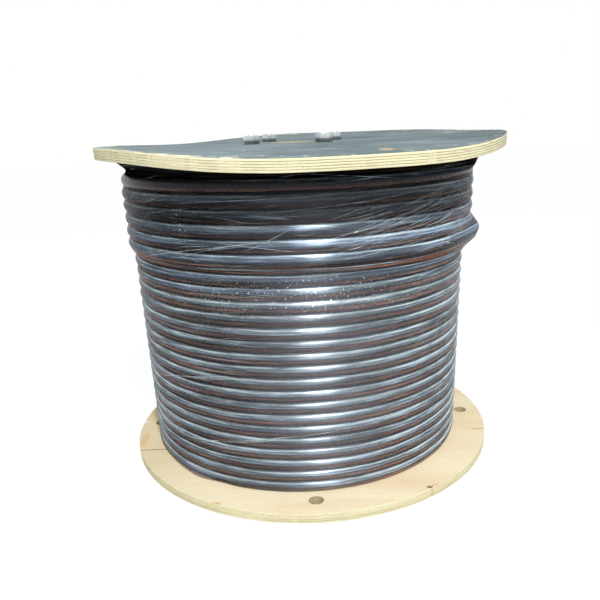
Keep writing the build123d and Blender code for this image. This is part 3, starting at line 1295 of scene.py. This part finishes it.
@dataclass
class StretchFilm:
    """Clear film drawn tight over the turns, stepped at the extra layer and stuck under the top flange.

    Azimuths are in degrees from the front, heights and radii in metres, creases in degrees and millimetres.
    """

    sizes: ReelSizes
    cable: CableWinding
    finish: FilmFinish
    upper_finish: FilmFinish
    fold_finish: FoldFinish
    gap: float = 0.35 * MM
    thickness: float = 0.12 * MM
    columns: int = 320
    row: float = 1.25 * MM
    join: float = 188.0 * MM
    join_wave: float = 1.5 * MM
    overlap: float = 6.0 * MM
    wrap_gap: float = 0.25 * MM
    smooth_angle: float = 80.0
    seed: int = 5

    # How it lies in the grooves
    sink: float = 2.6 * MM
    upper_sink_share: float = 0.85
    slack_share: float = 0.45
    slack_zone: Rise = Rise(20.0, 60.0)
    slack_back: Rise = Rise(172.0, -40.0)
    blunt: float = 0.5 * MM

    # The step under the extra layer
    step_drop: float = 1.5 * MM
    step_slope: float = 0.6
    end_length: float = 60.0
    lip_rise: float = 1.2 * MM
    lip_zone: Bell = Bell(204.0 * MM, 5.0 * MM)
    upper_zone: Rise = Rise(190.0 * MM, 18.0 * MM)

    # The tent over the cable's loose end
    tent_azimuth: float = 80.0
    tent_height: float = 206.0 * MM
    tent_reach: float = 8.0 * MM
    tent_above: float = 8.5 * MM
    tent_below: float = 13.0 * MM
    tent_side: float = 10.0
    tent_bluntness: float = 3.2
    tent_side_bluntness: float = 1.8

    # The neck under the top flange
    neck_draw: float = 5.0 * MM
    neck_zone: Bell = Bell(9.5 * MM, 4.5 * MM)
    stuck_reach: float = 7.0 * MM
    stuck_length: float = 3.0 * MM
    flare_length: float = 20.0 * MM
    flare_slope: float = 0.42
    top_gap: float = 0.6 * MM
    top_start: float = -1.0 * MM
    top_length: float = 4.0 * MM
    ceiling_reach: float = 2.0 * MM
    edge_gap: float = 0.25 * MM

    # The loose lower edge
    hem_azimuth: float = -40.0
    hem_width: float = 12.0
    hem_flare: float = 4.0 * MM
    hem_length: float = 4.0 * MM
    hem_lifts: tuple[Bell, ...] = (Bell(-59.0, 13.0), Bell(-29.0, 6.5))
    hem_rise: float = 5.0 * MM
    hem_wave: float = 0.3 * MM
    hem_waves: int = 11

    # Slack ripples: height, and the waves round and up the reel of two crossing rows
    ripple_right: Rise = Rise(10.0, 70.0)
    ripples: tuple[tuple[float, float, float, float, float], ...] = (
        (0.20 * MM, 9.0, 160.0, 23.0, -310.0),
        (0.12 * MM, 37.0, 620.0, 14.0, -220.0),
    )

    # Where the finish and its painted light, shade and reflection change
    right_zone: Rise = Rise(-5.0, 50.0)
    right_back: Rise = Rise(172.0, -50.0)
    left_zone: Rise = Rise(-25.0, -45.0)
    left_back: Rise = Rise(-172.0, 50.0)
    facing_zone: Rise = Rise(-20.0, 26.0)
    shaded_zone: Rise = Rise(222.0 * MM, 14.0 * MM)
    necked_zone: Rise = Rise(25.0 * MM, -13.0 * MM)
    bridge_top: Rise = Rise(2.0 * MM, -3.0 * MM)
    bridge_bottom: Rise = Rise(-19.0 * MM, 5.0 * MM)
    # Painted glow of the lamp's highlight
    highlight_glow_zone: Bell = Bell(5.0, 18.0)
    polish_zone: Bell = Bell(8.0, 45.0)
    # Painted glints
    crest_glint_height: Bell = Bell(178.0 * MM, 14.0 * MM)
    crest_glint_azimuth: Bell = Bell(2.0, 38.0)
    glint_height: Bell = Bell(226.0 * MM, 20.0 * MM)
    glint_azimuth: Bell = Bell(-34.0, 2.5)
    # Painted reflection of the warm ground just under the step
    step_reflection_height: Bell = Bell(-4.6 * MM, 1.7 * MM)
    step_reflection_azimuth: Bell = Bell(42.0, 12.0)
    mottle_height: Bell = Bell(135.0 * MM, 45.0 * MM)
    mottle_azimuth: Bell = Bell(48.0, 26.0)
    tent_look: Bell = Bell(0.0, 14.0)
    tent_milk: Bell = Bell(-4.0, 13.0)
    tent_look_height: Bell = Bell(0.0, 9.0 * MM)
    hem_milk: Bell = Bell(5.0 * MM, 3.0 * MM)
    hem_milk_width: float = 26.0

    # Creases
    girth_per_degree: float = 2.6
    fold_step: float = 3.0
    fold_ends: float = 0.02
    fold_lift: float = 0.10 * MM
    fold_rise: float = 0.15 * MM
    fold_rise_share: float = 0.9
    fold_angle: float = 60.0
    long_creases: tuple[Crease, ...] = (
        Crease((-57, 94), (-23, 112), 1.5, 0.40),
        Crease((-50, 98), (-14, 112), 2.0, 0.25),
        Crease((-25, 111), (11, 109), 0.5, 0.35),
        Crease((-47, 46), (-22, 54), -1.5, 0.35),
        Crease((-25, 54), (11, 66), 0.5, 0.35),
        Crease((-36, 47), (-5, 60), 1.0, 0.25),
        Crease((-58, 199), (2, 222), 3.0, 0.30),
        Crease((-22, 219), (1, 212), 0.5, 0.25),
        Crease((-15, 213), (-1, 230), -1.5, 0.25),
        Crease((-38, 204), (-4, 222), 2.5, 0.25),
        Crease((3, 217), (49, 246), -1.0, 0.30),
        Crease((8, 213), (45, 228), -1.0, 0.30),
        Crease((14, 217), (60, 249), 1.0, 0.25),
        Crease((10, 205), (46, 214), 0.0, 0.30),
        Crease((30, 216), (66, 238), 0.0, 0.30),
        Crease((44, 206), (70, 222), 1.5, 0.30),
        Crease((-36, 246), (10, 250), 1.0, 0.20),
        Crease((-10, 240), (34, 249), -1.0, 0.20),
        Crease((45, 207), (50, 205), 0.3, 0.80),
    )
    crease_fields: tuple[CreaseField, ...] = (
        CreaseField(60, (8, 62), (206, 236), (7, 24), (0.45, 0.8), 1.0, (0.1, 0.22), lean=0.18),
        CreaseField(36, (-78, -44), (205, 246), (4, 10), (0.5, 0.9), 0.5, (0.1, 0.2), Slant.EITHER),
        CreaseField(70, (-85, 90), (202, 250), (5, 20), (-0.1, 0.75), 1.0, (0.1, 0.2), Slant.EITHER_LEFT),
        CreaseField(90, (-175, 175), (20, 250), (6, 22), (-0.25, 0.25), 1.0, (0.1, 0.18)),
    )

    def turn_profile(self, offset: Array, crest: Union[float, Array], sink: Array) -> Array:
        """The film's radius over one turn.

        Args:
            offset: The height above the nearest turn's middle.
            crest: The turn's outermost radius.
            sink: How far the film draws into the groove.

        Returns:
            The radius, which stays outside the cable.
        """
        radius = self.cable.cable_radius
        near = np.minimum(np.abs(offset), radius * 0.995)
        drop = radius - np.sqrt(radius**2 - near**2)
        return crest + self.gap - sink * np.tanh(drop / sink)

    def step_height(self, azimuth: Array) -> Array:
        """The middle of the extra layer's lowest turn at an azimuth."""
        cable = self.cable
        lowest = cable.extra_top - cable.extra_pitch * (cable.extra_turns - 1)
        past_end = (azimuth > cable.end_azimuth) | (azimuth < -180.0 + cable.crossing_width / 2)
        onward = np.where(azimuth < 0.0, azimuth + 360.0, azimuth)
        crossed = ease((onward - cable.crossing_start) / cable.crossing_width)
        level = lowest + cable.extra_pitch * (1 - crossed)
        after = ease((azimuth - cable.end_azimuth) / self.end_length)
        slid = lowest - cable.last_turn_drop(np.minimum(azimuth, cable.end_azimuth))
        climbing = slid + (level - slid) * after
        return np.where(azimuth > cable.end_azimuth, climbing, np.where(past_end, level, slid))

    def radius(self, azimuth: Array, height: Array) -> Array:
        """The film's middle surface.

        Args:
            azimuth: Degrees from the front.
            height: Metres above the floor.

        Returns:
            The radius at each place.
        """
        cable = self.cable
        azimuth = wrapped(azimuth)
        slack = self.slack_zone.at(azimuth) * self.slack_back.at(azimuth)
        sink = self.sink * (1 - self.slack_share * slack)
        turn = (height - cable.first_height) / cable.pitch - cable.phase(azimuth)
        offset = (turn - np.round(turn)) * cable.pitch
        low = self.turn_profile(offset, cable.outer_crest, sink)
        turn = (cable.extra_top - height) / cable.extra_pitch - cable.phase(azimuth)
        offset = (turn - np.maximum(np.round(turn), 0.0)) * cable.extra_pitch
        crest = cable.extra_radius(azimuth)
        high = self.turn_profile(offset, crest, sink * self.upper_sink_share)
        past_step = np.maximum(self.step_height(azimuth) - self.step_drop - height, 0.0)
        ramp = crest + self.gap + self.lip_rise * self.lip_zone.at(height) - past_step * self.step_slope
        both = self.blunt * np.logaddexp(low / self.blunt, np.minimum(high, ramp) / self.blunt)
        hem = hump(azimuth, self.hem_azimuth, self.hem_width)
        hem = hem * np.exp(-(height - self.sizes.inner_bottom) / self.hem_length)
        both += self.tent(azimuth, height) + self.ripple(azimuth, height) + self.hem_flare * hem
        return self.neck(azimuth, height, both)

    def tent(self, azimuth: Array, height: Array) -> Array:
        """The film stood off by the cable's loose end."""
        up = height - self.tent_height
        spread = np.where(up > 0, self.tent_above, self.tent_below)
        upward = np.exp(-(np.abs(up / spread) ** self.tent_bluntness))
        side = np.abs(azimuth - self.tent_azimuth) / self.tent_side
        return self.tent_reach * upward * np.exp(-(side**self.tent_side_bluntness))

    def ripple(self, azimuth: Array, height: Array) -> Array:
        """Small slack waves, stronger in the upper wrap and on the right."""
        share = 0.25 + 0.5 * self.upper_zone.at(height) + 0.35 * self.ripple_right.at(azimuth)
        along = np.radians(azimuth)
        total = np.zeros_like(along)
        for reach, turns, rows, cross_turns, cross_rows in self.ripples:
            wave = np.sin(along * turns + height * rows) * np.sin(along * cross_turns + height * cross_rows)
            total += reach * (1 + wave)
        return share * total

    def neck(self, azimuth: Array, height: Array, radius: Array) -> Array:
        """Draws the film in above the top turn and out again where it sticks to the flange."""
        below = self.ceiling(azimuth) - height
        lean = np.sin(np.radians(azimuth))
        left, right = (1 - lean) / 2, (1 + lean) / 2
        drawn = self.neck_draw * left * self.neck_zone.at(below)
        stuck = self.stuck_reach * left * np.exp(-np.maximum(below, 0.0) / self.stuck_length)
        flared = self.flare_slope * right * np.maximum(self.flare_length - below, 0.0)
        top = ease((height - self.cable.extra_top - self.top_start) / self.top_length)
        held = self.cable.extra_radius(azimuth) - self.top_gap - drawn + stuck + flared
        return radius * (1 - top) + held * top

    def ceiling(self, azimuth: Array) -> Array:
        """The under face of the top flange over the film."""
        turn = np.radians(azimuth)
        reach = self.cable.extra_crest + self.ceiling_reach
        hub = self.sizes.hub
        rise = self.sizes.warp(hub.x + reach * np.sin(turn), hub.y - reach * np.cos(turn))
        return self.sizes.inner_top + rise

    def floor(self, azimuth: Array) -> Array:
        """The film's lower edge, which comes loose at the front left."""
        lifted = self.hem_rise * sum(zone.at(azimuth) for zone in self.hem_lifts)
        wave = self.hem_wave * (1 + np.sin(np.radians(azimuth) * self.hem_waves))
        return self.sizes.inner_bottom + self.edge_gap + lifted + wave

    def bunched(self, azimuth: Array, height: Array) -> Array:
        """How milky the film is: at the tent and at its loose lower edge."""
        tent = self.tent_milk.at(azimuth - self.tent_azimuth)
        tent = tent * self.tent_look_height.at(height - self.tent_height)
        edge = self.hem_milk.at(height - self.sizes.inner_bottom)
        edge = edge * hump(azimuth, self.hem_azimuth, self.hem_milk_width)
        return np.clip(0.6 * tent + 0.45 * edge, 0.0, 1.0)

    def wrap(
        self,
        name: str,
        low: Callable[[Array], Array],
        high: Callable[[Array], Array],
        rows: int,
        outward: float,
    ) -> Piece:
        """One wrap of the film as a thin closed skin.

        Args:
            name: The piece's name.
            low: The lower edge's height for an azimuth in degrees.
            high: The upper edge's height for an azimuth in degrees.
            rows: How many faces go up.
            outward: How far it lies outside the film's middle surface.

        Returns:
            The wrap.
        """
        deselect()
        bpy.ops.mesh.primitive_grid_add(x_subdivisions=self.columns, y_subdivisions=rows, size=1.0)
        skin = newest(name)
        skin.data.uv_layers[0].name = "wrap"
        points = points_of(skin)
        travel = np.round((points[:, 0] + 0.5) * self.columns) / self.columns * 360.0
        azimuth = wrapped(self.cable.crossing_start + travel)
        share = points[:, 1] + 0.5
        bottom, top = low(azimuth), high(azimuth)
        height = bottom + (top - bottom) * share
        move_points(skin, around(np.radians(azimuth), self.radius(azimuth, height) + outward, height))
        for look, values in self.looks(azimuth, height).items():
            remember(skin, look, values)
        self.measure_wrap(skin, travel, height)
        merge_and_face_out(skin, SEAM)
        solid = skin.modifiers.new("skin", "SOLIDIFY")
        solid.thickness = self.thickness
        solid.offset = 0.0
        apply_modifiers(skin)
        smooth_by_angle(skin, self.smooth_angle)
        return skin

    def looks(self, azimuth: Array, height: Array) -> dict[str, Array]:
        """Numbers for the finish: how milky and mottled the film is, its painted light level, its share of
        painted warm ground reflection, its painted glints and the painted glow of the highlight.

        Args:
            azimuth: Degrees from the front.
            height: Metres above the floor.

        Returns:
            One number for each vertex under each name.
        """
        above_step = height - self.step_height(azimuth)
        upper = self.upper_zone.at(height)
        right = self.right_zone.at(azimuth) * self.right_back.at(azimuth)
        left = self.left_zone.at(azimuth) * self.left_back.at(azimuth)
        facing = self.facing_zone.at(azimuth) * self.right_back.at(azimuth)
        shaded = self.shaded_zone.at(height)
        necked = self.necked_zone.at(self.ceiling(azimuth) - height)
        bridge = self.bridge_top.at(above_step) * self.bridge_bottom.at(above_step)
        tent = self.tent_look.at(azimuth - self.tent_azimuth)
        tent = tent * self.tent_look_height.at(height - self.tent_height)
        # Painted light and shade: brighter towards the bottom of the lower wrap; in the upper wrap brighter
        # from the front towards the right, and darker in the top flange's shadow.
        lower_level = 1.45 - 0.45 * height / self.upper_zone.start
        upper_level = 1.15 + 0.35 * facing - (0.76 + 0.32 * facing) * shaded
        level = lower_level * (1 - upper) + upper_level * upper
        # Painted glints: along the crests near the front, and in a short column on the left.
        glints = self.glint_azimuth.at(azimuth) * self.glint_height.at(height)
        crest_glints = self.crest_glint_height.at(height) * self.crest_glint_azimuth.at(azimuth)
        # Painted reflection under the step, strongest on the left.
        step_reflection_amount = np.clip(left + 0.6 * self.step_reflection_azimuth.at(azimuth), 0.0, 0.95)
        return {
            "bunched": self.bunched(azimuth, height),
            "loose": upper,
            # Painted light level, also brighter on the right and at the step's bridge, and darker under the
            # top flange.
            "painted_light_level": level * (1 + 0.45 * right) * (1 + 0.2 * bridge) * (1 - 0.85 * necked),
            # Share of the painted reflection of the warm ground.
            "warm": np.clip(0.40 + 0.60 * left + 0.5 * bridge + 0.20 * right - 0.2 * upper, 0.0, 1.0),
            # Painted glints.
            "glint_share": np.maximum(crest_glints, glints),
            # Painted glow of the lamp's highlight, at the front and not under the flange.
            "highlight_glow_share": self.highlight_glow_zone.at(azimuth) * (0.36 - 0.22 * upper) * (1 - necked),
            "polished": self.polish_zone.at(azimuth) * (1 - necked),
            # Opaque film under the top flange, so the painted shade there hides what lies behind; the tent
            # is opaque milky film.
            "dense": np.maximum(necked, tent),
            # Painted reflection of the warm ground just under the step.
            "step_reflection_share": self.step_reflection_height.at(above_step) * step_reflection_amount,
            "mottled": 0.75 * self.mottle_height.at(height) * self.mottle_azimuth.at(azimuth),
        }

    def measure_wrap(self, skin: Piece, travel: Array, height: Array) -> None:
        """Sets the texture layers: the place round and up the reel, and the count of turns up to it.

        Args:
            skin: The wrap before its seam is merged.
            travel: Degrees of each vertex from the seam.
            height: The height of each vertex.
        """
        cable = self.cable
        corner = np.zeros(len(skin.data.loops), dtype=np.int32)
        skin.data.loops.foreach_get("vertex_index", corner)
        climb = ease(travel / cable.crossing_width)
        low_turn = (height - cable.first_height) / cable.pitch - climb
        high_turn = (height - cable.extra_top) / cable.extra_pitch + climb
        layers = {"wrap": (travel / 360.0, height / self.sizes.inner_top), "turns": (low_turn, high_turn)}
        for name, columns in layers.items():
            layer = skin.data.uv_layers.get(name) or skin.data.uv_layers.new(name=name)
            flat = np.stack(columns, axis=-1)[corner]
            layer.data.foreach_set("uv", flat.astype(np.float32).ravel())

    def fold(self, crease: Crease) -> tuple[list, list]:
        """One crease: a slim ridge of doubled film that tapers at both ends.

        Args:
            crease: Where it lies.

        Returns:
            Its vertices and faces.
        """
        onward = crease.end[0] - crease.start[0]
        upward = crease.end[1] - crease.start[1]
        count = max(6, int(math.hypot(onward * self.girth_per_degree, upward) / self.fold_step))
        share = np.linspace(0.0, 1.0, count)
        azimuth = crease.start[0] + onward * share
        height = (crease.start[1] + upward * share + crease.bow * 4 * share * (1 - share)) * MM
        half = crease.width * MM * np.sqrt(np.maximum(np.sin(np.pi * share), self.fold_ends))
        tilt = math.atan2(upward, onward * self.girth_per_degree)
        side_up = half * math.cos(tilt)
        side_on = -half * math.sin(tilt) / (self.girth_per_degree * MM)
        crown = half * self.fold_rise_share + self.fold_rise
        rows = []
        for side, raised in ((-1.0, self.fold_lift), (0.0, crown), (1.0, self.fold_lift), (0.0, 0.0)):
            spot_azimuth, spot_height = azimuth + side * side_on, height + side * side_up
            radius = self.radius(spot_azimuth, spot_height) + self.thickness + raised
            rows.append(around(np.radians(spot_azimuth), radius, spot_height))
        vertices = np.stack(rows, axis=1).reshape(-1, 3)
        faces = []
        for k in range(count - 1):
            for j in range(4):
                a, b = 4 * k + j, 4 * k + (j + 1) % 4
                faces.append((a, b, b + 4, a + 4))
        faces += [(3, 2, 1, 0), tuple(4 * (count - 1) + j for j in range(4))]
        return vertices.tolist(), faces

    def creases(self) -> Piece:
        """The long creases, and the short ones where the film is slack, as one piece."""
        rng = np.random.default_rng(self.seed)
        folds = list(self.long_creases)
        for field in self.crease_fields:
            folds += field.scatter(rng)
        vertices, faces = [], []
        for crease in folds:
            more, sides = self.fold(crease)
            faces += [tuple(corner + len(vertices) for corner in side) for side in sides]
            vertices += more
        mesh = bpy.data.meshes.new("film_creases")
        mesh.from_pydata(vertices, [], faces)
        piece = bpy.data.objects.new("film_creases", mesh)
        bpy.context.scene.collection.objects.link(piece)
        merge_and_face_out(piece, FOLD_SEAM)
        smooth_by_angle(piece, self.fold_angle)
        return piece

    def build(self) -> list[Piece]:
        """Wraps the winding.

        Returns:
            The lower and upper wraps and the creases, which stand for the film's node.
        """
        sizes, cable = self.sizes, self.cable
        low_height = self.join - sizes.inner_bottom
        high_height = sizes.inner_top - self.join + self.overlap
        lower = self.wrap(
            "film_lower_wrap",
            self.floor,
            lambda azimuth: np.full_like(azimuth, self.join),
            int(low_height / self.row),
            0.0,
        )
        upper = self.wrap(
            "film_upper_wrap",
            lambda azimuth: self.join - self.overlap + self.join_wave * np.sin(np.radians(azimuth * 3)),
            lambda azimuth: self.ceiling(azimuth) - self.edge_gap,
            int(high_height / self.row),
            self.wrap_gap,
        )
        folds = self.creases()
        for piece in (lower, upper, folds):
            piece.data.transform(Matrix.Translation(sizes.hub))
        for piece, finish in ((lower, self.finish), (upper, self.upper_finish)):
            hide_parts("stretch_film")
            put_on(piece, Slot.FILM, finish.build())
        put_on(folds, Slot.FILM, self.fold_finish.build())
        return [lower, upper, folds]


@dataclass
class TieBolts:
    """The four bolts with threaded ends and their chamfered nuts."""

    sizes: ReelSizes
    finish: ZincFinish
    shank: float = 3.95 * MM
    head: float = 8.5 * MM
    head_height: float = 3.2 * MM
    head_edge: float = 0.5 * MM
    head_face_share: float = 0.86
    thread_pitch: float = 1.41 * MM
    thread_depth: float = 0.45 * MM
    turns_below_nut: int = 3
    end_length: float = 0.5 * MM
    end_edge: float = 0.05 * MM
    end_shares: tuple[float, float] = (0.76, 0.7)
    flats: float = 12.7 * MM
    corner_slope: float = 1.75
    corner_cut: float = 0.1 * MM
    corner_steps: int = 48
    bore_gap: float = 0.1 * MM
    steps: int = 32
    step_turn: float = 17.0
    bolt_angle: float = 35.0
    nut_angle: float = 30.0

    def bolt_profile(
        self, low: float, head_top: float, thread_from: float, top: float
    ) -> list[tuple[float, float]]:
        """The bolt's outline from axis to axis.

        Args:
            low: The height of the head's under face.
            head_top: The height where the shank begins.
            thread_from: The height where the thread begins.
            top: The height of the bolt's end.

        Returns:
            The outline's points, as radius and height.
        """
        outline = [(0.0, low), (self.head * self.head_face_share, low), (self.head, low + self.head_edge)]
        outline += [(self.head, head_top), (self.shank, head_top), (self.shank, thread_from)]
        height = thread_from
        while height + self.thread_pitch < top - self.end_length:
            outline.append((self.shank - self.thread_depth, height + self.thread_pitch * 0.5))
            outline.append((self.shank, height + self.thread_pitch))
            height += self.thread_pitch
        edge, face = (self.shank * share for share in self.end_shares)
        return outline + [(edge, top - self.end_edge), (face, top), (0.0, top)]

    def nut(self, name: str, low: float, high: float) -> Piece:
        """A hexagon nut on the axis with turned-off corners and its bore.

        Args:
            name: The piece's name.
            low: The height of its under face.
            high: The height of its upper face.

        Returns:
            The nut.
        """
        height = high - low
        axis = Vector((0, 0, 0))
        nut = post(name, axis, self.flats / math.sqrt(3), low, high, 6)
        deselect()
        bpy.ops.mesh.primitive_cone_add(
            vertices=self.corner_steps,
            radius1=self.flats * 0.5 + height * self.corner_slope,
            radius2=self.flats * 0.5 - self.corner_cut,
            depth=height,
            location=(0, 0, (low + high) / 2),
        )
        carve(nut, newest("corner_tool"), Carving.KEEP)
        bore_radius = self.shank + self.bore_gap
        bore = post("bore_tool", axis, bore_radius, low - height / 2, high + height / 2, self.steps)
        carve(nut, bore, Carving.CUT)
        smooth_by_angle(nut, self.nut_angle)
        return nut

    def build(self) -> list[Piece]:
        """Models one bolt and one nut and copies them to their places.

        Returns:
            The bolts and nuts, which stand for their nodes.
        """
        material = self.finish.build()
        pieces = []
        bolt_low, bolt_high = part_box("tie_bolt_1")
        nut_low, nut_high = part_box("tie_nut_1")
        head_top = bolt_low.z + self.head_height
        thread_from = nut_low.z - self.turns_below_nut * self.thread_pitch
        profile = self.bolt_profile(bolt_low.z, head_top, thread_from, bolt_high.z)
        bolt = turned("bolt_pattern", profile, self.steps)
        smooth_by_angle(bolt, self.bolt_angle)
        nut = self.nut("nut_pattern", nut_low.z, nut_high.z)
        for number, place in enumerate(self.sizes.bolts, start=1):
            turn = Matrix.Rotation(math.radians(self.step_turn * number), 4, "Z")
            for pattern, node in ((bolt, f"tie_bolt_{number}"), (nut, f"tie_nut_{number}")):
                piece = pattern.copy()
                piece.data = pattern.data.copy()
                piece.name = node + "_zinc"
                bpy.context.scene.collection.objects.link(piece)
                piece.data.transform(Matrix.Translation((place.x, place.y, 0)) @ turn)
                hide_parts(node)
                pieces.append(put_on(piece, Slot.ZINC, material))
        bpy.data.objects.remove(bolt)
        bpy.data.objects.remove(nut)
        return pieces


# The studio


@dataclass
class Studio:
    """Pale floor, soft light and the camera at the photograph's angle."""

    camera_place: tuple[float, float, float] = (0.0, -0.58658, 0.29472)
    lens: float = 36.624
    sensor: float = 36.0
    clip_start: float = 10.0 * MM
    pitch: float = 21.638
    roll: float = -2.106
    yaw: float = 0.489
    shift: tuple[float, float] = (-0.02420, 0.11534)
    key_azimuth: float = 11.0
    key_elevation: float = 51.0
    key_distance: float = 2.2
    key_size: float = 0.20
    key_power: float = 46.0
    key_aim: float = 140.0 * MM
    sky: Colour = (0.94, 0.97, 1.0)
    sky_strength: float = 0.45
    floor_size: float = 12.0
    floor_drop: float = 0.4 * MM
    floor_colour: Colour = (0.88, 0.88, 0.88)
    floor_roughness: float = 0.9
    glow_share: float = 0.93
    glow_strength: float = 1.03

    def camera(self) -> None:
        """Places the camera."""
        data = bpy.data.cameras.new("camera")
        data.lens = self.lens
        data.sensor_width = self.sensor
        data.shift_x, data.shift_y = self.shift
        data.clip_start = self.clip_start
        camera = bpy.data.objects.new("camera", data)
        bpy.context.scene.collection.objects.link(camera)
        pitch, roll, yaw = (math.radians(angle) for angle in (self.pitch, self.roll, self.yaw))
        right = Vector((math.cos(yaw), -math.sin(yaw), 0))
        level = math.cos(pitch)
        forward = Vector((math.sin(yaw) * level, math.cos(yaw) * level, -math.sin(pitch)))
        up = right.cross(forward)
        across = right * math.cos(roll) + up * math.sin(roll)
        upward = up * math.cos(roll) - right * math.sin(roll)
        axes = Matrix((across, upward, -forward)).transposed().to_4x4()
        camera.matrix_world = Matrix.Translation(Vector(self.camera_place)) @ axes
        bpy.context.scene.camera = camera

    def key(self) -> None:
        """Hangs a square lamp that points at the reel's middle."""
        data = bpy.data.lights.new("key", "AREA")
        data.size = self.key_size
        data.energy = self.key_power
        lamp = bpy.data.objects.new("key", data)
        bpy.context.scene.collection.objects.link(lamp)
        turn, rise = math.radians(self.key_azimuth), math.radians(self.key_elevation)
        level = math.cos(rise)
        away = Vector((math.sin(turn) * level, -math.cos(turn) * level, math.sin(rise)))
        lamp.location = Vector((0, 0, self.key_aim)) + away * self.key_distance
        lamp.rotation_mode = "QUATERNION"
        lamp.rotation_quaternion = (-away).to_track_quat("-Z", "Y")

    def seen_directly(self, tree: bpy.types.NodeTree) -> Socket:
        """One for a ray from the camera, a reflection or a see-through surface."""
        path = tree.nodes.new("ShaderNodeLightPath")
        total = path.outputs["Is Camera Ray"]
        for name in ("Is Glossy Ray", "Is Transmission Ray"):
            both = tree.nodes.new("ShaderNodeMath")
            both.operation = "MAXIMUM"
            tree.links.new(total, both.inputs[0])
            tree.links.new(path.outputs[name], both.inputs[1])
            total = both.outputs[0]
        return total

    def blend(
        self,
        tree: bpy.types.NodeTree,
        share: Socket,
        nodes: Sequence[bpy.types.Node],
        end: str,
    ) -> None:
        """Mixes two shaders.

        Args:
            tree: The node tree that is wired.
            share: Nothing where the first shader shows, and one where the second does.
            nodes: The two shaders.
            end: The name of the node that takes the mix.
        """
        mix = tree.nodes.new("ShaderNodeMixShader")
        tree.links.new(share, mix.inputs[0])
        for socket, node in zip(mix.inputs[1:], nodes):
            tree.links.new(node.outputs[0], socket)
        tree.links.new(mix.outputs[0], tree.nodes[end].inputs["Surface"])

    def world(self) -> None:
        """A soft sky for light, white where it is seen."""
        world = bpy.data.worlds.new("studio")
        bpy.context.scene.world = world
        world.use_nodes = True
        tree = world.node_tree
        sky = tree.nodes["Background"]
        sky.inputs["Color"].default_value = (*self.sky, 1.0)
        sky.inputs["Strength"].default_value = self.sky_strength
        white = tree.nodes.new("ShaderNodeBackground")
        white.inputs["Color"].default_value = (1, 1, 1, 1)
        self.blend(tree, self.seen_directly(tree), (sky, white), "World Output")

    def floor(self) -> None:
        """A wide pale floor that keeps a faint shadow."""
        deselect()
        bpy.ops.mesh.primitive_plane_add(size=self.floor_size, location=(0, 0, -self.floor_drop))
        floor = newest("floor")
        material = bpy.data.materials.new("floor")
        material.use_nodes = True
        tree = material.node_tree
        pale = tree.nodes["Principled BSDF"]
        pale.inputs["Base Color"].default_value = (*self.floor_colour, 1.0)
        pale.inputs["Roughness"].default_value = self.floor_roughness
        glow = tree.nodes.new("ShaderNodeEmission")
        glow.inputs["Strength"].default_value = self.glow_strength
        share = tree.nodes.new("ShaderNodeMath")
        share.operation = "MULTIPLY"
        share.inputs[1].default_value = self.glow_share
        tree.links.new(self.seen_directly(tree), share.inputs[0])
        self.blend(tree, share.outputs[0], (pale, glow), "Material Output")
        floor.data.materials.append(material)

    def build(self) -> None:
        """Sets the stage."""
        bpy.context.scene.view_settings.view_transform = "Standard"
        self.camera()
        self.world()
        self.floor()
        self.key()


def main() -> None:
    """Builds the reel piece by piece."""
    logging.basicConfig(level=logging.INFO, format="%(name)s: %(message)s")
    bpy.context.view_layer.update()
    sizes = ReelSizes.read()
    Studio().build()
    wood = PlywoodFinish
    raw = PlywoodFinish(
        "raw_plywood",
        False,
        joint=(0.16, 0.42),
        joint_fade=0.6,
        marks=(
            ((-85.0, -157.5), (9.0, 2.6), wood.stain, 0.8),
            ((98.0, -146.0), (3.0, 2.4), wood.crack, 0.8),
            ((103.0, -143.0), (4.0, 1.2), wood.stain, 0.7),
            ((-153.0, -61.0), (16.0, 0.9), wood.crack, 0.75),
            ((-168.0, -40.0), (4.0, 16.0), wood.stain, 0.45),
            ((-176.0, 1.0), (4.0, 3.0), wood.bare, 0.9),
            ((165.0, -44.0), (7.0, 1.6), wood.crack, 0.35),
            ((20.0, -165.0), (60.0, 7.0), wood.veneer_warm, 0.5),
        ),
    )
    Flange(sizes, "bottom_flange", 0.0, sizes.ties["bottom"], raw, Slot.PLYWOOD, False, 3).build()
    slate = PlywoodFinish("slate_plywood", True)
    Flange(sizes, "top_flange", sizes.inner_top, sizes.ties["top"], slate, Slot.PAINTED, True, 4).build()
    cable = CableWinding(sizes, JacketFinish())
    cable.build()
    slack = FilmFinish(
        "stretch_film_loose",
        specular=0.0,
        coat=0.3,
        under_end=(0.21, 0.30),
        # Painted reflection of the warm ground on the slack film's lower flanks.
        ground_reflection=(0.36, 0.13, 0.06),
        # Painted reflection for the slack upper film, with darker stops than the lower film's.
        stops=(
            (0.00, (0.022, 0.022, 0.026)),
            (0.10, (0.032, 0.030, 0.033)),
            (0.17, (0.150, 0.130, 0.130)),
            (0.25, (0.045, 0.046, 0.054)),
            (0.40, (0.060, 0.068, 0.083)),
            (0.52, (0.110, 0.145, 0.190)),
            (0.62, (0.230, 0.295, 0.370)),
            (0.70, (0.110, 0.150, 0.205)),
            (0.80, (0.230, 0.305, 0.385)),
            (0.87, (0.540, 0.660, 0.740)),
            (0.93, (0.085, 0.103, 0.127)),
            (1.00, (0.024, 0.026, 0.032)),
        ),
    )
    StretchFilm(sizes, cable, FilmFinish(), slack, FoldFinish()).build()
    TieBolts(sizes, ZincFinish()).build()
    barrel = frame["nodes"]["barrel"]
    barrel.data.materials.clear()
    barrel.data.materials.append(FibreFinish().build())


if __name__ == "__main__":
    main()
